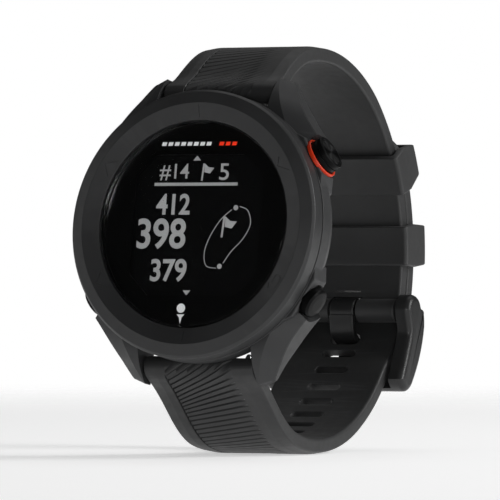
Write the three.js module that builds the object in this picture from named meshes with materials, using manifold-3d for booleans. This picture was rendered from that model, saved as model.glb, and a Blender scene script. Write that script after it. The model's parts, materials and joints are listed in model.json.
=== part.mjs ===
// A golf GPS watch: round case, four side buttons and a buckled silicone strap.
//
// Millimetres. Everything is designed in the watch's own axes: X to the wearer's right (the
// three o'clock side), Y from the glass towards the wrist, Z towards twelve o'clock, with the
// origin in the middle of the glass. The last lines lean the watch back onto its strap and
// set the strap's lowest line at z = 0.
import * as THREE from 'three';
import { mergeVertices } from 'three/addons/utils/BufferGeometryUtils.js';
import Module from 'manifold-3d';

const wasm = await Module();
wasm.setup();

const { clamp, degToRad, lerp, radToDeg, smoothstep } = THREE.MathUtils;

// ---- Driving dimensions -------------------------------------------------------------------

const LEAN = 9; // degrees that the watch leans back on its strap
const GAP = 0.3; // clearance between neighbouring pieces

const caseRadius = 21.85;
const caseFront = 3.1; // where the body starts, behind the bezel
const caseRear = 9.9;
const backFace = 10.6; // the face that touches the wrist
const cavityRadius = 18.6;
const ledgeRadius = 14.5;
const ledgeRear = 8.6;

const glassRadius = 16.6;
const glassThickness = 1.5;
const bezelCrest = -0.9; // the bezel's highest line, in front of the glass
const displayHalf = 11.9;
const windowHalf = 11.44;
const cornerCut = 3.47;

const buttonAngles = { ok: 31, up: 149, down: 211, back: 329 };
const buttonDepth = 6.1;
const capRadius = 2.5;
const capSeat = 22.1; // underside of a cap, from the dial's axis
const capFloor = 21.2; // floor of its pocket, 0.9 below, so a cap travels 0.6
const capTop = { ok: 24.4, up: 23.7, down: 23.7, back: 23.7 };

const lugInner = 10.2; // half the 20.4 mm between the lugs
const lugRoot = 12.4; // heights between which a lug runs
const lugTip = 25;
const barDepth = 7.3; // spring bars behind the glass
const barHeight = 22.3; // and above or below the middle

const loopCentre = new THREE.Vector2(27.3, 0); // (y, z) of the wrist circle's centre
const loopRadius = 30.7;
const lugDip = 2;
const strapHalf = 9.9; // half the strap's width at the lugs
const strapWaist = 0.2; // how much narrower it is on each side away from them
const flatHalf = 7.7; // half of the strap's raised middle
const edgeThickness = 2.3;
const strapThickness = 2.6;
const layerThickness = 2.2; // where the two straps lie on one another
const hubRadius = 1.9;
const bendAngle = 44.5;
const bendGap = 0.45; // degrees, each side of a bend
const layerLift = 2.5;
const tailTipAngle = 48;

const holePitch = 4;
const holeHalfLength = 3.65;
const holeHalfWidth = 1.1;
const tongueHoleAngle = -18.15;
const holesTowardsLug = 9;
const holesTowardsTip = 6;

const buckleAngle = -10.1;
const buckleRadius = 30.9;
const buckleTube = 2;
const frameHalf = 13;
const armInner = 10.4;
const screwCircle = 16.5;
const barRadius = 0.75;
const pinBore = 1.15;

const keeperHalfAngle = 7.6;
const keeperAngles = { lower: 9.8, upper: 33.6 };

const lugAngle = radToDeg(
  Math.atan2(barHeight - loopCentre.y, barDepth - loopCentre.x));

// ---- Materials ----------------------------------------------------------------------------

const material = (color, roughness, metalness = 0) =>
  new THREE.MeshStandardMaterial({ color, roughness, metalness });

const bezelPlastic = material(0x303132, 0.45);
const casePlastic = material(0x262728, 0.5);
const silicone = material(0x232425, 0.7);
const bucklePlastic = material(0x1c1d1e, 0.42);
const capPlastic = material(0x161718, 0.5);
const accentRed = material(0xd8301a, 0.4);
const glass = material(0x050506, 0.05);
const displayBlack = material(0x0b0c0d, 0.2);
const sealRubber = material(0x111111, 0.85);
const steel = material(0xb6b8bb, 0.25, 1);
const gold = material(0xc9a24a, 0.3, 1);
const boardGreen = material(0x1f4a33, 0.6);
const cellSilver = material(0x9da1a6, 0.4, 0.6);
const chassisGrey = material(0x55585c, 0.6);

// ---- Joining and cutting ------------------------------------------------------------------

/** The closed solid that a geometry bounds. */
function toSolid(geometry) {
  const bare = geometry.clone();
  bare.deleteAttribute('normal');
  bare.deleteAttribute('uv');
  const merged = mergeVertices(bare, 1e-5);
  const corners = merged.index.array;
  const triangles = [];
  for (let i = 0; i < corners.length; i += 3) {
    const [a, b, c] = corners.slice(i, i + 3);
    if (a !== b && b !== c && c !== a) triangles.push(a, b, c);
  }
  return new wasm.Manifold(new wasm.Mesh({
    numProp: 3,
    vertProperties: new Float32Array(merged.attributes.position.array),
    triVerts: new Uint32Array(triangles),
  }));
}

/** The geometry of base with every geometry of added joined on and every cutter taken off. */
function carve(base, { add = [], cut = [], keep = [] }) {
  let solid = toSolid(base);
  for (const geometry of add) solid = solid.add(toSolid(geometry));
  for (const geometry of keep) solid = solid.intersect(toSolid(geometry));
  for (const geometry of cut) solid = solid.subtract(toSolid(geometry));
  const { vertProperties, triVerts } = solid.getMesh();
  const result = new THREE.BufferGeometry();
  result.setAttribute('position', new THREE.BufferAttribute(vertProperties, 3));
  result.setIndex(new THREE.BufferAttribute(triVerts, 1));
  return result;
}

// ---- Shape helpers ------------------------------------------------------------------------

const points2 = (pairs) => pairs.map(([x, y]) => new THREE.Vector2(x, y));

/** A solid of revolution about the dial's axis; outline is a loop of [radius, depth]. */
function turned(outline, segments = 56) {
  const loop = points2(outline);
  const touchesAxis = loop[0].x === 0 && loop[loop.length - 1].x === 0;
  if (!touchesAxis) loop.push(loop[0].clone());
  return new THREE.LatheGeometry(loop, segments);
}

/** A flat ring or disc about the dial's axis. */
function disc(inner, outer, front, rear, segments = 32) {
  const outline = [[inner, front], [outer, front], [outer, rear], [inner, rear]];
  return turned(outline, segments);
}

/** A shape drawn in (x, z) and drawn out along Y, from front to rear. */
function alongDepth(shape, front, rear) {
  const length = { depth: rear - front, bevelEnabled: false };
  const geometry = new THREE.ExtrudeGeometry(shape, length);
  return geometry.rotateX(Math.PI / 2).translate(0, rear, 0);
}

/** A shape drawn in (y, z) and drawn out along X, from left to right. */
function alongWidth(shape, left, right) {
  const length = { depth: right - left, bevelEnabled: false };
  const geometry = new THREE.ExtrudeGeometry(shape, length);
  const basis = new THREE.Matrix4().makeBasis(
    new THREE.Vector3(0, 1, 0), new THREE.Vector3(0, 0, 1), new THREE.Vector3(1, 0, 0));
  return geometry.applyMatrix4(basis).translate(left, 0, 0);
}

/** A round rod along X at (y, z). */
function rodAlongWidth(radius, left, right, [y, z], segments = 20) {
  return new THREE.CylinderGeometry(radius, radius, right - left, segments)
    .rotateZ(Math.PI / 2)
    .translate((left + right) / 2, y, z);
}

/** A square of the given half width with cut corners. */
function octagon(half, cut) {
  const near = half - cut;
  return points2([
    [near, -half], [half, -near], [half, near], [near, half],
    [-near, half], [-half, near], [-half, -near], [-near, -half],
  ]);
}

/** A closed skin through rings of equal point count, wound with the direction of travel. */
function loft(rings) {
  const count = rings[0].length;
  const position = rings.flat().flatMap((point) => point.toArray());
  const index = [];
  for (let ring = 0; ring + 1 < rings.length; ring += 1) {
    for (let corner = 0; corner < count; corner += 1) {
      const a = ring * count + corner;
      const b = ring * count + ((corner + 1) % count);
      index.push(a, b, b + count, a, b + count, a + count);
    }
  }
  const last = (rings.length - 1) * count;
  for (let corner = 1; corner + 1 < count; corner += 1) {
    index.push(0, corner + 1, corner, last, last + corner, last + corner + 1);
  }
  const geometry = new THREE.BufferGeometry();
  geometry.setAttribute('position', new THREE.Float32BufferAttribute(position, 3));
  geometry.setIndex(index);
  return geometry;
}

/** A copy reflected in the plane through the origin across X or across Z. */
function mirrored(geometry, x, z) {
  const copy = geometry.clone().scale(x, 1, z);
  if (x * z < 0) copy.index.array.reverse();
  return copy;
}

/** Turns a shape built about Y so that it points out through the case's side at an angle. */
function throughSide(geometry, angle) {
  const outward = new THREE.Vector3(Math.cos(degToRad(angle)), 0, Math.sin(degToRad(angle)));
  const turn = new THREE.Quaternion().setFromUnitVectors(new THREE.Vector3(0, 1, 0), outward);
  return geometry.applyQuaternion(turn).translate(0, buttonDepth, 0);
}

/** The point of the strap's loop at an angle from straight back, x across it. */
function onLoop(x, radius, angle) {
  return new THREE.Vector3(
    x,
    loopCentre.x + radius * Math.cos(degToRad(angle)),
    loopCentre.y + radius * Math.sin(degToRad(angle)));
}

/** A skin along the loop; section gives the convex outline [x, radius] at each angle. */
function alongLoop(from, to, steps, section) {
  const rings = [];
  for (let step = 0; step <= steps; step += 1) {
    const angle = from + (to - from) * (step / steps);
    rings.push(section(angle).map(([x, radius]) => onLoop(x, radius, angle)));
  }
  return loft(rings);
}

// ---- Strap section ------------------------------------------------------------------------

/** 1 where the two straps overlap behind the wrist, 0 where only one is there. */
const overlap = (angle) => 1 - smoothstep(Math.abs(angle), 50, 62);

/** The wrist side of the strap: a circle that draws in towards the lugs, sooner below. */
const wristSide = (angle) => loopRadius - lugDip
  * (angle > 0 ? smoothstep(angle, 105, 132) : smoothstep(-angle, 96, 122));

/** Half the strap's width, which narrows over the first degrees away from a lug. */
const halfWidth = (angle) => strapHalf - strapWaist * (1 - smoothstep(Math.abs(angle), 116, 131));

/** The wrist side of the lower strap, which climbs over the buckle's tube. */
const tailWristSide = (angle) => wristSide(angle) + layerLift * smoothstep(angle, -33, buckleAngle);

/** Six-sided strap section: flat on the wrist, bevelled along both outer edges. */
function strapSection(inner, angle, half = halfWidth(angle), topCrown = 0.02) {
  const edge = inner + lerp(edgeThickness, layerThickness, overlap(angle));
  const crown = inner + lerp(strapThickness, layerThickness, overlap(angle)) + topCrown;
  const flat = Math.min(flatHalf, half - 0.4);
  return [
    [-half, inner], [half, inner], [half, edge], [flat, crown], [-flat, crown], [-half, edge],
  ];
}

/** A round-ended slot through the strap at an angle. */
function strapHole(angle) {
  const slot = new THREE.Shape();
  const straight = holeHalfLength - holeHalfWidth;
  slot.absarc(straight, 0, holeHalfWidth, -Math.PI / 2, Math.PI / 2, false);
  slot.absarc(-straight, 0, holeHalfWidth, Math.PI / 2, Math.PI * 1.5, false);
  const through = { depth: 9, bevelEnabled: false, curveSegments: 5 };
  const geometry = new THREE.ExtrudeGeometry(slot, through);
  const turn = degToRad(angle);
  const basis = new THREE.Matrix4().makeBasis(
    new THREE.Vector3(1, 0, 0),
    new THREE.Vector3(0, Math.sin(turn), -Math.cos(turn)),
    new THREE.Vector3(0, Math.cos(turn), Math.sin(turn)));
  const middle = onLoop(0, loopRadius - 2, angle);
  return geometry.applyMatrix4(basis).translate(...middle);
}

/** The angles of the lower strap's holes, from the lug towards the tip. */
function holeAngles() {
  const angles = [];
  const lugStep = radToDeg(holePitch / (loopRadius + 0.5));
  const tipStep = radToDeg(holePitch / (loopRadius + layerLift + 1));
  for (let hole = holesTowardsLug; hole > 0; hole -= 1) {
    angles.push(tongueHoleAngle - hole * lugStep);
  }
  for (let hole = 0; hole <= holesTowardsTip; hole += 1) {
    angles.push(tongueHoleAngle + hole * tipStep);
  }
  return angles;
}

// ---- Nodes --------------------------------------------------------------------------------

const watch = new THREE.Group();

function place(name, geometry, finish) {
  const mesh = new THREE.Mesh(geometry, finish);
  mesh.name = name;
  watch.add(mesh);
}

// Case body: a turned ring with four lugs and four flat button seats.

const screwPlaces = [45, 135, 225, 315].map((angle) =>
  [screwCircle * Math.cos(degToRad(angle)), screwCircle * Math.sin(degToRad(angle))]);

/** Six-sided slice of a lug at a height: narrow front, wide outer bevel, side and back. */
function lugSlice(height) {
  const front = caseFront + 0.25 + 3.8 * Math.max(0, (height - 17) / 8) ** 2.5;
  const rear = 9.6 - 0.4 * smoothstep(height, 20, lugTip);
  const root = 2.2 * (1 - smoothstep(height, lugRoot, lugRoot + 2.2));
  const side = 12.8 + 0.66 * (lugTip - height) - root;
  const bevel = lugInner + 0.1 + 0.45 * (lugTip - height) - root;
  const deep = Math.min(1.6, 0.35 * (rear - front));
  const slant = 0.375 * (height - lugRoot) / (lugTip - lugRoot);
  return [
    [lugInner, front], [bevel, front], [side, front + deep], [side, rear - 0.5 * deep],
    [side - deep, rear], [lugInner, rear],
  ].map(([x, y]) => new THREE.Vector3(x, y, height - slant * (x - lugInner)));
}

function lug() {
  const steps = 9;
  const slices = [];
  for (let step = 0; step <= steps; step += 1) {
    slices.push(lugSlice(lerp(lugRoot, lugTip, step / steps)));
  }
  return loft(slices);
}

/** The flat seat around a button, in plan a trapezoid that leans on the case's side. */
function buttonSeat(angle) {
  const seat = new THREE.Shape(points2([
    [17, -5.6], [20.9, -5.6], [22.3, -3.5], [22.3, 3.5], [20.9, 5.6], [17, 5.6],
  ]));
  return alongDepth(seat, caseFront + 0.15, 9.1).rotateY(-degToRad(angle));
}

function caseBody() {
  const side = [[caseRadius, caseFront], [caseRadius + 0.1, 5.6], [21.3, 7.4], [19.7, caseRear]];
  const block = turned([[0, caseFront], ...side, [0, caseRear]]);
  const hollow = turned([
    [0, 2.9], [20.3, 2.9], [20.3, 4.5], [cavityRadius, 4.5], [cavityRadius, 7.6],
    [ledgeRadius, 7.6], [ledgeRadius, ledgeRear], [18, ledgeRear], [18, 10.2], [0, 10.2],
  ], 40);
  const rearTaper = turned([
    [0, caseFront], [26, caseFront], [26, 7.2], [22.2, 7.6], [19.7, caseRear], [0, caseRear],
  ], 40);
  const angles = Object.values(buttonAngles);
  const seats = angles.map((angle) => carve(buttonSeat(angle), { keep: [rearTaper] }));
  const lugs = [[1, 1], [-1, 1], [-1, -1], [1, -1]].map(([x, z]) => mirrored(lug(), x, z));
  const cut = [hollow];
  for (const angle of angles) {
    const bore = turned([
      [0, 17], [2, 17], [2, 20.3], [1.25, 20.3], [1.25, capFloor], [capRadius + GAP, capFloor],
      [capRadius + GAP, 25], [0, 25],
    ], 20);
    cut.push(throughSide(bore, angle));
  }
  const ringSeat = [[0, 21.8], [3.45, 21.8], [3.45, 25], [0, 25]];
  cut.push(throughSide(turned(ringSeat, 32), buttonAngles.ok));
  for (const side of [-1, 1]) {
    const bar = [barDepth, side * barHeight];
    cut.push(rodAlongWidth(hubRadius + 0.6, -lugInner, lugInner, bar, 32));
    cut.push(rodAlongWidth(barRadius, -11.7, 11.7, bar, 12));
  }
  for (const [x, z] of screwPlaces) {
    cut.push(new THREE.CylinderGeometry(0.8, 0.8, 3, 12).translate(x, ledgeRear, z));
  }
  return carve(block, { add: [...seats, ...lugs], cut });
}

place('case_body', caseBody(), casePlastic);

// Bezel: a sloped inner ring up to the crest and a sloped outer ring down to the side.

place('bezel', turned([
  [glassRadius + GAP, 0], [19.6, bezelCrest], [21.45, -0.3], [caseRadius, 0.15],
  [caseRadius, caseFront - GAP], [20, caseFront - GAP], [20, 4.2], [15.3, 4.2],
  [15.3, 2.4], [glassRadius + GAP, 2.4],
]), bezelPlastic);

// Behind the glass: seal, printed mask, display, chassis, board, cell and antenna.

place('lens_glass', turned([
  [0, 0], [glassRadius - 0.3, 0], [glassRadius, 0.3], [glassRadius, glassThickness],
  [0, glassThickness],
], 48), glass);
place('lens_gasket', disc(15.4, glassRadius, 1.75, 2.15), sealRubber);

function lensMask() {
  const sheet = new THREE.Shape();
  sheet.absarc(0, 0, 15.05, 0, Math.PI * 2, false);
  sheet.holes.push(new THREE.Path(octagon(windowHalf, cornerCut)));
  return alongDepth(sheet, 1.8, 2);
}
place('lens_mask', lensMask(), displayBlack);
place('display_panel', alongDepth(
  new THREE.Shape(octagon(displayHalf, cornerCut)), 2.3, 3.3), displayBlack);
place('display_chassis', disc(13.4, 18.2, 4.75, 5.15), chassisGrey);

function mainBoard() {
  const outline = new THREE.Shape();
  outline.absarc(0, 0, 14.6, 0, Math.PI * 2, false);
  const notch = new THREE.Shape(points2([[-3, 11.5], [3, 11.5], [3, 16], [-3, 16]]));
  return carve(alongDepth(outline, 5.4, 6.1), { cut: [alongDepth(notch, 5, 7)] });
}
place('main_board', mainBoard(), boardGreen);
place('battery_cell', new THREE.BoxGeometry(21, 2.8, 17).translate(0, 7.85, 0), cellSilver);

function antennaBand() {
  const band = new THREE.Shape();
  band.absarc(0, 0, 18.1, degToRad(52), degToRad(128), false);
  band.absarc(0, 0, 16.7, degToRad(128), degToRad(52), true);
  return alongDepth(band, 5.5, 7.2);
}
place('gps_antenna', antennaBand(), gold);

// Back cover with its seal, four screws and the charging contacts.

const contactPlaces = [-3.3, -1.1, 1.1, 3.3].map((x) => [x, -8]);

function backCover() {
  const plate = turned([
    [0, 9.5], [17.7, 9.5], [17.7, 10], [16.9, backFace], [0, backFace],
  ], 40);
  const cut = screwPlaces.flatMap(([x, z]) => [
    new THREE.CylinderGeometry(0.8, 0.8, 4, 12).translate(x, 10, z),
    new THREE.CylinderGeometry(1.25, 1.25, 2, 16).translate(x, 10.95, z),
  ]);
  for (const [x, z] of contactPlaces) {
    cut.push(new THREE.CylinderGeometry(0.85, 0.85, 4, 16).translate(x, 10, z));
  }
  return carve(plate, { cut });
}
place('back_cover', backCover(), casePlastic);
place('back_gasket', disc(14.75, 15.4, 8.85, 9.25), sealRubber);

screwPlaces.forEach(([x, z], index) => {
  const screw = turned([
    [0, 8], [0.5, 8], [0.5, 10.15], [0.95, 10.15], [0.95, 10.5], [0, 10.5],
  ], 10);
  place(`back_screw_${index + 1}`, screw.translate(x, 0, z), steel);
});
contactPlaces.forEach(([x, z], index) => {
  const contact = new THREE.CylinderGeometry(0.55, 0.55, 1.2, 14).translate(x, 9.9, z);
  place(`charge_contact_${index + 1}`, contact, gold);
});

// Buttons: a cap with its stem, a seal round the stem and the switch that it presses.

for (const [name, angle] of Object.entries(buttonAngles)) {
  const top = capTop[name];
  const cap = turned([
    [0, 17.2], [0.9, 17.2], [0.9, capSeat], [capRadius, capSeat], [capRadius, top - 0.35],
    [capRadius - 0.35, top], [0, top],
  ], 20);
  place(`button_${name}`, throughSide(cap, angle), capPlastic);
  const seal = turned([[1.2, 19.3], [1.7, 19.3], [1.7, 19.9], [1.2, 19.9]], 14);
  place(`button_seal_${name}`, throughSide(seal, angle), sealRubber);
  const body = new THREE.BoxGeometry(1.1, 1.8, 3.2).translate(15.65, buttonDepth + 0.25, 0);
  place(`side_switch_${name}`, body.rotateY(-degToRad(angle)), steel);
}
const accent = turned([[2.8, 22.1], [3.2, 22.1], [3.2, 22.65], [2.8, 22.65]], 36);
place('ok_accent_ring', throughSide(accent, buttonAngles.ok), accentRed);

// Spring bars, each with a release pin that slides in and carries the thumb lever.

for (const [name, side] of [['upper', 1], ['lower', -1]]) {
  const bar = [barDepth, side * barHeight];
  const tube = carve(rodAlongWidth(barRadius, -9.6, 4.6, bar, 14), {
    add: [rodAlongWidth(0.42, -11.3, -9, bar, 10)],
  });
  place(`spring_bar_${name}`, tube, steel);
  const inward = new THREE.Vector2(loopCentre.x - bar[0], loopCentre.y - bar[1]).normalize();
  const lever = new THREE.CylinderGeometry(0.55, 0.55, 2.6, 12)
    .rotateX(Math.atan2(inward.y, inward.x))
    .translate(7.3, bar[0] + 1.7 * inward.x, bar[1] + 1.7 * inward.y);
  const pin = carve(rodAlongWidth(barRadius, 6.6, 9.6, bar, 14), {
    add: [rodAlongWidth(0.42, 9, 11.3, bar, 10), lever],
  });
  place(`release_pin_${name}`, pin, steel);
}

/** Joins the round hub at a lug to the strap and bores it for the spring bar and its lever. */
function withHub(strap, side) {
  const bar = [barDepth, side * barHeight];
  const inward = new THREE.Vector2(loopCentre.x - bar[0], loopCentre.y - bar[1]).normalize();
  const slot = new THREE.BoxGeometry(4.6, 4, 1.9)
    .rotateX(Math.atan2(inward.y, inward.x))
    .translate(6.4, bar[0] + 2.2 * inward.x, bar[1] + 2.2 * inward.y);
  return carve(strap, {
    add: [rodAlongWidth(hubRadius, -strapHalf, strapHalf, bar, 28)],
    cut: [rodAlongWidth(1.1, -11, 11, bar, 16), slot],
  });
}

// The upper strap in two lengths: from the lug to the bend, and on to the buckle.

const upperSection = (angle) => strapSection(wristSide(angle), angle);
place('strap_upper', withHub(
  alongLoop(bendAngle + bendGap, lugAngle, 22, upperSection), 1), silicone);

const buckleBar = [
  onLoop(0, buckleRadius, buckleAngle).y, onLoop(0, buckleRadius, buckleAngle).z,
];

function strapBuckleEnd() {
  const band = alongLoop(buckleAngle, bendAngle - bendGap, 16, upperSection);
  const notch = new THREE.BoxGeometry(5.4, 9, 6.4).translate(0, buckleBar[0], buckleBar[1] + 0.4);
  return carve(band, {
    add: [rodAlongWidth(buckleTube, strapWaist - strapHalf, strapHalf - strapWaist, buckleBar, 28)],
    cut: [notch, rodAlongWidth(pinBore, -11, 11, buckleBar, 16)],
  });
}
place('strap_buckle_end', strapBuckleEnd(), silicone);

// The lower strap in two lengths, pierced by its row of holes, with a rounded tip.

const tailSection = (angle) => {
  const fromTip = clamp((tailTipAngle - angle) / 9, 0, 1);
  const half = halfWidth(angle) - 5 * (1 - Math.sqrt(1 - (1 - fromTip) ** 2));
  return strapSection(tailWristSide(angle), angle, half, 0.2 * overlap(angle));
};
const holes = holeAngles();
const isOnTail = (angle) => angle > -bendAngle;
place('strap_lower', withHub(
  carve(alongLoop(-lugAngle, -bendAngle - bendGap, 22, tailSection), {
    cut: holes.filter((angle) => !isOnTail(angle)).map(strapHole),
  }), -1), silicone);
place('strap_tail', carve(alongLoop(-bendAngle + bendGap, tailTipAngle, 34, tailSection), {
  cut: holes.filter(isOnTail).map(strapHole),
}), silicone);

// Buckle: a moulded frame and a tongue that both turn on one steel pin.

/** A point (y, z) at a distance along the loop below the pin and a radius from its centre. */
const besidePin = (radius, angle) => [
  onLoop(0, radius, angle).y, onLoop(0, radius, angle).z,
];

function buckleFrame() {
  const outline = new THREE.Shape();
  const [y, z] = buckleBar;
  outline.absarc(y, z, 2.7, degToRad(20), degToRad(190), false);
  outline.lineTo(...besidePin(31.6, -17));
  outline.quadraticCurveTo(...besidePin(33, -23), ...besidePin(34, -28));
  outline.lineTo(...besidePin(33.9, -36));
  outline.quadraticCurveTo(...besidePin(36.4, -36.5), ...besidePin(36.6, -31));
  outline.quadraticCurveTo(...besidePin(37.6, -20), ...besidePin(36.1, -12.5));
  outline.closePath();
  const half = frameHalf - 0.5;
  const slab = carve(alongWidth(outline, -half, half), {
    add: [alongWidth(insetOutline(outline, 0.5), -frameHalf, frameHalf)],
  });
  const opening = alongLoop(-28.2, 6, 12, () => [
    [-armInner, 24], [armInner, 24], [armInner, 42], [-armInner, 42],
  ]);
  const notch = alongLoop(-40, -27, 8, () => [
    [-2.6, 35.2], [2.6, 35.2], [2.6, 40], [-2.6, 40],
  ]);
  return carve(slab, {
    cut: [opening, notch, rodAlongWidth(pinBore, -12.3, 12.3, buckleBar, 16)],
  });
}

/** The outline drawn smaller towards its middle by about the given distance. */
function insetOutline(outline, distance) {
  const corners = outline.getPoints(6);
  const box = new THREE.Box2().setFromPoints(corners);
  const middle = box.getCenter(new THREE.Vector2());
  const size = box.getSize(new THREE.Vector2());
  return new THREE.Shape(corners.map((corner) => new THREE.Vector2(
    middle.x + (corner.x - middle.x) * (1 - (2 * distance) / size.x),
    middle.y + (corner.y - middle.y) * (1 - (2 * distance) / size.y))));
}
place('buckle_frame', buckleFrame(), bucklePlastic);

function buckleTongue() {
  const spine = new THREE.CatmullRomCurve3([
    onLoop(0, 29.6, -12.4), onLoop(0, 30.9, -16.6), onLoop(0, 32.4, -17.8),
    onLoop(0, 34.9, -18.6), onLoop(0, 36, -21.4), onLoop(0, 36.1, -27), onLoop(0, 36, -35.5),
  ]);
  const thick = 0.55;
  const outer = [];
  const inner = [];
  const steps = 26;
  for (let step = 0; step <= steps; step += 1) {
    const point = spine.getPoint(step / steps);
    const ahead = spine.getTangent(step / steps);
    outer.push(new THREE.Vector2(point.y - thick * ahead.z, point.z + thick * ahead.y));
    inner.push(new THREE.Vector2(point.y + thick * ahead.z, point.z - thick * ahead.y));
  }
  const blade = new THREE.Shape([...inner, ...outer.reverse()]);
  return carve(rodAlongWidth(2.1, -2.3, 2.3, buckleBar, 28), {
    add: [alongWidth(blade, -2.2, 2.2)],
    cut: [rodAlongWidth(pinBore, -4, 4, buckleBar, 16)],
  });
}
place('buckle_tongue', buckleTongue(), bucklePlastic);
place('buckle_pin', rodAlongWidth(0.85, -12, 12, buckleBar, 16), steel);

// Keepers: two loops round both layers of strap, wider on the wrist side.

function keeper(angle) {
  const chamfer = 3.4;
  const outerSection = (at) => {
    const fromEnd = keeperHalfAngle - Math.abs(at - angle);
    const outer = 32.8 + 4.1 * clamp(fromEnd / chamfer, 0, 1);
    return [
      [-11.3, 29.3], [11.3, 29.3], [11.3, outer - 0.7], [10.6, outer],
      [-10.6, outer], [-11.3, outer - 0.7],
    ];
  };
  const start = angle - keeperHalfAngle;
  const end = angle + keeperHalfAngle;
  const passage = () => [[-10.2, 30.35], [10.2, 30.35], [10.2, 35.95], [-10.2, 35.95]];
  const rings = [start, start + chamfer, angle, end - chamfer, end];
  const solid = loft(rings.map((at) => outerSection(at).map(([x, r]) => onLoop(x, r, at))));
  return carve(solid, { cut: [alongLoop(start - 1, end + 1, 8, passage)] });
}
for (const [name, angle] of Object.entries(keeperAngles)) {
  place(`keeper_${name}`, keeper(angle), silicone);
}

// ---- The watch leans back on its strap, with the strap's lowest line on the ground --------

watch.rotation.x = -degToRad(LEAN);
watch.updateMatrixWorld(true);
const extent = new THREE.Box3().setFromObject(watch, true);
const middle = extent.getCenter(new THREE.Vector3());
watch.position.set(-middle.x, -middle.y, -extent.min.z);

const group = new THREE.Group();
group.add(watch);

export default group;
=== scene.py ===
"""The looks of a golf GPS watch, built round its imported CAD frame.

The pieces are modelled in the watch's own millimetres: X towards three o'clock, Y from the
glass towards the wrist and Z towards twelve o'clock, from the middle of the glass. WATCH turns
those into the frame's metres. The strap is a loop, so its places are given as an angle in
degrees from straight back and a radius from the middle of the loop.
"""

import json
import math

import bmesh
import bpy
from mathutils import Matrix, Vector


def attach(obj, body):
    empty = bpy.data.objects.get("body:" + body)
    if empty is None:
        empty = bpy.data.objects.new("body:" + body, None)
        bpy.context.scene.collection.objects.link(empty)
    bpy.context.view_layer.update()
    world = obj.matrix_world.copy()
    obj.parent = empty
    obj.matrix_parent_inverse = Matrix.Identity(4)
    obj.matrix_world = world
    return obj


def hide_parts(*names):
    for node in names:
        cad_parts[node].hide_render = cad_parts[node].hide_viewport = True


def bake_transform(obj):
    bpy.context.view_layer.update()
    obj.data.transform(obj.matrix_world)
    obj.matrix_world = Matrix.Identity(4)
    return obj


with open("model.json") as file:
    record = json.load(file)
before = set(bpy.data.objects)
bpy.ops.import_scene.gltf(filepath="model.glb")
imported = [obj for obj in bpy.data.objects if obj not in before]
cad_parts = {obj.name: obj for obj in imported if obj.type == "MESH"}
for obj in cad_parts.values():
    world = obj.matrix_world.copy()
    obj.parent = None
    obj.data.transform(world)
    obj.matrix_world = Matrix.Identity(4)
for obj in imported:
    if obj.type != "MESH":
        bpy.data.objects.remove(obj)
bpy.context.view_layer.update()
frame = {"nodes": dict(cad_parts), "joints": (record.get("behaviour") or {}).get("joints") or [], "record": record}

# ---- Where things are, from the frame

MM = 0.001
BACK_FACE = 10.6  # glass to wrist face

record = frame["record"]
wrist_face = record["mounts"][0]
BACK = Vector(wrist_face["axis"]).normalized()
RIGHT = Vector((1, 0, 0))
UP = RIGHT.cross(BACK)
GLASS = Vector(wrist_face["pos_m"]) - BACK * BACK_FACE * MM
WATCH = Matrix.Translation(GLASS) @ Matrix((RIGHT, BACK, UP)).transposed().to_4x4()
WATCH = WATCH @ Matrix.Scale(MM, 4)
WORLD_TO_WATCH = WATCH.inverted()


def hinge_place(joint_name):
    """The (y, z) of a hinge in the watch's millimetres."""
    joint = next(joint for joint in frame["joints"] if joint["name"] == joint_name)
    place = WORLD_TO_WATCH @ Vector(joint["pos_m"])
    return Vector((place.y, place.z))


BAR = hinge_place("strap_upper_pivot")
PIN = hinge_place("buckle_frame_swing")
LOOP = hinge_place("keeper_lower_slide")
BEND = hinge_place("strap_upper_bend")

# ---- Driving dimensions, in millimetres and degrees

CASE_RADIUS = 21.85
GLASS_RADIUS = 16.6
BEZEL_CREST = (19.6, -0.9)  # radius and depth of the bezel's highest line
BEZEL_INNER = 16.9
WINDOW_HALF = 11.44
WINDOW_CUT = 3.47
BUTTON_ANGLES = {"ok": 31, "up": 149, "down": 211, "back": 329}
BUTTON_DEPTH = 6.1
CAP_RADIUS = 2.5
CAP_SEAT = 22.1
SEAT_FACE = 22.3
LUG_INNER = 10.2
LUG_ROOT = 12.4  # heights between which a lug runs
LUG_TIP = 25

LOOP_RADIUS = 30.7
STRAP_HALF = 9.9
STRAP_WAIST = 0.2  # how much narrower the straps are on each side away from their lugs
FLAT_HALF = 7.7
EDGE_THICKNESS = 2.3
STRAP_THICKNESS = 2.6
LAYER_THICKNESS = 2.2  # where the two straps lie on one another
HUB_RADIUS = 1.9
TUBE_RADIUS = 2.0
LAYER_LIFT = 2.5
TAIL_TIP = 43
TAIL_ROUND = 9  # degrees over which the tail rounds off
LUG_ANGLE = math.degrees(math.atan2(BAR.y - LOOP.y, BAR.x - LOOP.x))
PIN_ANGLE = math.degrees(math.atan2(PIN.y - LOOP.y, PIN.x - LOOP.x))
BAR_RADIUS_ON_LOOP = (BAR - LOOP).length
PIN_RADIUS_ON_LOOP = (PIN - LOOP).length
RIB_PITCH = 2.05  # degrees round the loop
RIB_DEPTH = 0.36
RIB_PARTS = (0, 0.12, 0.7, 0.84)  # in a pitch: the groove's end, the top's start and end, the next groove
RIB_HALF = 6.0
LEAN_HALF = 6.3  # rows lean with the ribs between these, and run on level outside
RIBS_END = 63
UPPER_DIP = (105, 132)  # where a strap's wrist side bends in towards its lug
LOWER_DIP = (96, 122)
HOLE_PITCH = 4
TONGUE_HOLE = -18.15
HOLE_SHIFT_LUG = 1.5  # how far the rows of slots on each side of the tongue's hole are shifted up
HOLE_SHIFT_TIP = 0.8
SLOT_HALF = (2.97, 0.72)  # half length and half width
TONGUE_SLOT_HALF = (2.6, 1)
PIN_BORE = 1.15
BAR_BORE = 1.1
BAR_THICK = 0.75
BAR_TIP = 0.42
BUCKLE_HALF = 13
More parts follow.
